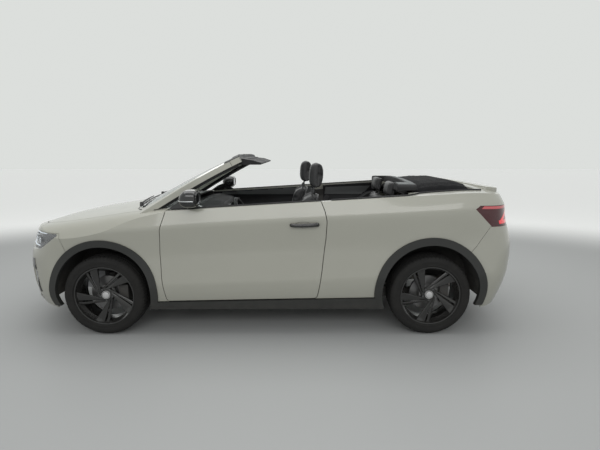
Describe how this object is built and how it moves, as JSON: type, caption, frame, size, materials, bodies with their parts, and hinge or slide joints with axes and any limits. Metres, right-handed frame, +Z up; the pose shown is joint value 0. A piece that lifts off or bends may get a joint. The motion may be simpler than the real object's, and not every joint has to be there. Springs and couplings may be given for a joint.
{
  "type": "crossover convertible",
  "caption": "Crossover convertible car with folded soft top, opening doors, bonnet and boot lid, rolling wheels and steered front wheels.",
  "frame": {"origin": "on the ground under the middle of the car", "axes": "+X towards the tail, +Y to the car's right, +Z up"},
  "size_m": [4.2729, 1.984, 1.4482],
  "materials": {
    "body_paint": "warm light grey gloss paint",
    "black_plastic": "grained black cladding",
    "gloss_black": "gloss black",
    "clear_glass": "clear windscreen glass",
    "lamp_clear": "clear lamp cover",
    "lamp_red": "red lamp lens",
    "interior_trim": "soft black trim",
    "seat_cover": "black seat covering",
    "roof_cloth": "black roof cloth",
    "roof_panel": "grey lining with dark edge",
    "floor_pan": "dark coated pan",
    "tyre": "black rubber",
    "rim": "gloss black alloy",
    "disc": "turned steel",
    "chassis": "dark coated steel",
    "engine": "cast aluminium",
    "exhaust": "stainless pipe"
  },
  "bodies": {
    "body": {"underbody": "floor_pan", "front_wing_left": "body_paint", "front_wing_right": "body_paint", "rear_quarter_left": "body_paint", "rear_quarter_right": "body_paint", "front_bumper": "body_paint", "rear_bumper": "body_paint", "front_grilles": "gloss_black", "rear_lower_panel": "black_plastic", "cladding_left": "black_plastic", "cladding_right": "black_plastic", "wheel_liners": "black_plastic", "cowl": "black_plastic", "windscreen_frame": "body_paint", "windscreen_trim": "interior_trim", "windscreen_glass": "clear_glass", "headlamps": "lamp_clear", "tail_lamps": "lamp_red", "quarter_trims": "interior_trim", "dashboard": "interior_trim", "front_seat_left": "seat_cover", "front_seat_right": "seat_cover", "rear_seat": "seat_cover", "soft_top": "roof_cloth", "roof_front_section": "roof_panel", "engine": "engine", "front_subframe": "chassis", "rear_axle": "chassis", "exhaust": "exhaust"},
    "knuckle_left": {"knuckle_left": "chassis"},
    "knuckle_right": {"knuckle_right": "chassis"},
    "door_left": {"door_left": "body_paint", "door_trim_left": "interior_trim", "door_fittings_left": "gloss_black"},
    "door_right": {"door_right": "body_paint", "door_trim_right": "interior_trim", "door_fittings_right": "gloss_black"},
    "bonnet": {"bonnet": "body_paint"},
    "boot_lid": {"boot_lid": "body_paint", "lid_lamps": "lamp_red", "spoiler": "gloss_black"},
    "steering_wheel": {"steering_wheel": "interior_trim"},
    "wheel_front_left": {"tyre_front_left": "tyre", "rim_front_left": "rim", "brake_disc_front_left": "disc"},
    "wheel_front_right": {"tyre_front_right": "tyre", "rim_front_right": "rim", "brake_disc_front_right": "disc"},
    "wheel_rear_left": {"tyre_rear_left": "tyre", "rim_rear_left": "rim", "brake_disc_rear_left": "disc"},
    "wheel_rear_right": {"tyre_rear_right": "tyre", "rim_rear_right": "rim", "brake_disc_rear_right": "disc"}
  },
  "joints": [
    {"name": "door_left_hinge", "type": "hinge", "parent": "body", "child": "door_left", "pos_m": [-0.857, -0.895, 0.6], "axis": [0, 0, -1], "range_deg": [0, 65]},
    {"name": "door_right_hinge", "type": "hinge", "parent": "body", "child": "door_right", "pos_m": [-0.857, 0.895, 0.6], "axis": [0, 0, 1], "range_deg": [0, 65]},
    {"name": "bonnet_hinge", "type": "hinge", "parent": "body", "child": "bonnet", "pos_m": [-0.988, 0, 1.044], "axis": [0, 1, 0], "range_deg": [0, 50]},
    {"name": "boot_lid_hinge", "type": "hinge", "parent": "body", "child": "boot_lid", "pos_m": [1.7485, 0, 1.189], "axis": [0, -1, 0], "range_deg": [0, 75]},
    {"name": "steer_left", "type": "hinge", "parent": "body", "child": "knuckle_left", "pos_m": [-1.3045, -0.693, 0.33], "axis": [0, 0, 1], "range_deg": [-34, 34]},
    {"name": "steer_right", "type": "hinge", "parent": "body", "child": "knuckle_right", "pos_m": [-1.3045, 0.693, 0.33], "axis": [0, 0, 1], "range_deg": [-34, 34]},
    {"name": "steering_wheel_turn", "type": "hinge", "parent": "body", "child": "steering_wheel", "pos_m": [-0.2245, -0.37, 0.9], "axis": [0.9063, 0, 0.4226], "range_deg": [-482, 482]},
    {"name": "wheel_front_left_roll", "type": "hinge", "parent": "knuckle_left", "child": "wheel_front_left", "pos_m": [-1.3045, -0.773, 0.33], "axis": [0, 1, 0], "continuous": true},
    {"name": "wheel_front_right_roll", "type": "hinge", "parent": "knuckle_right", "child": "wheel_front_right", "pos_m": [-1.3045, 0.773, 0.33], "axis": [0, 1, 0], "continuous": true},
    {"name": "wheel_rear_left_roll", "type": "hinge", "parent": "body", "child": "wheel_rear_left", "pos_m": [1.3255, -0.773, 0.33], "axis": [0, 1, 0], "continuous": true},
    {"name": "wheel_rear_right_roll", "type": "hinge", "parent": "body", "child": "wheel_rear_right", "pos_m": [1.3255, 0.773, 0.33], "axis": [0, 1, 0], "continuous": true}
  ],
  "couplings": [
    {"joint": "steer_right", "follows": "steer_left", "ratio": 1},
    {"joint": "steering_wheel_turn", "follows": "steer_left", "ratio": 14}
  ]
}
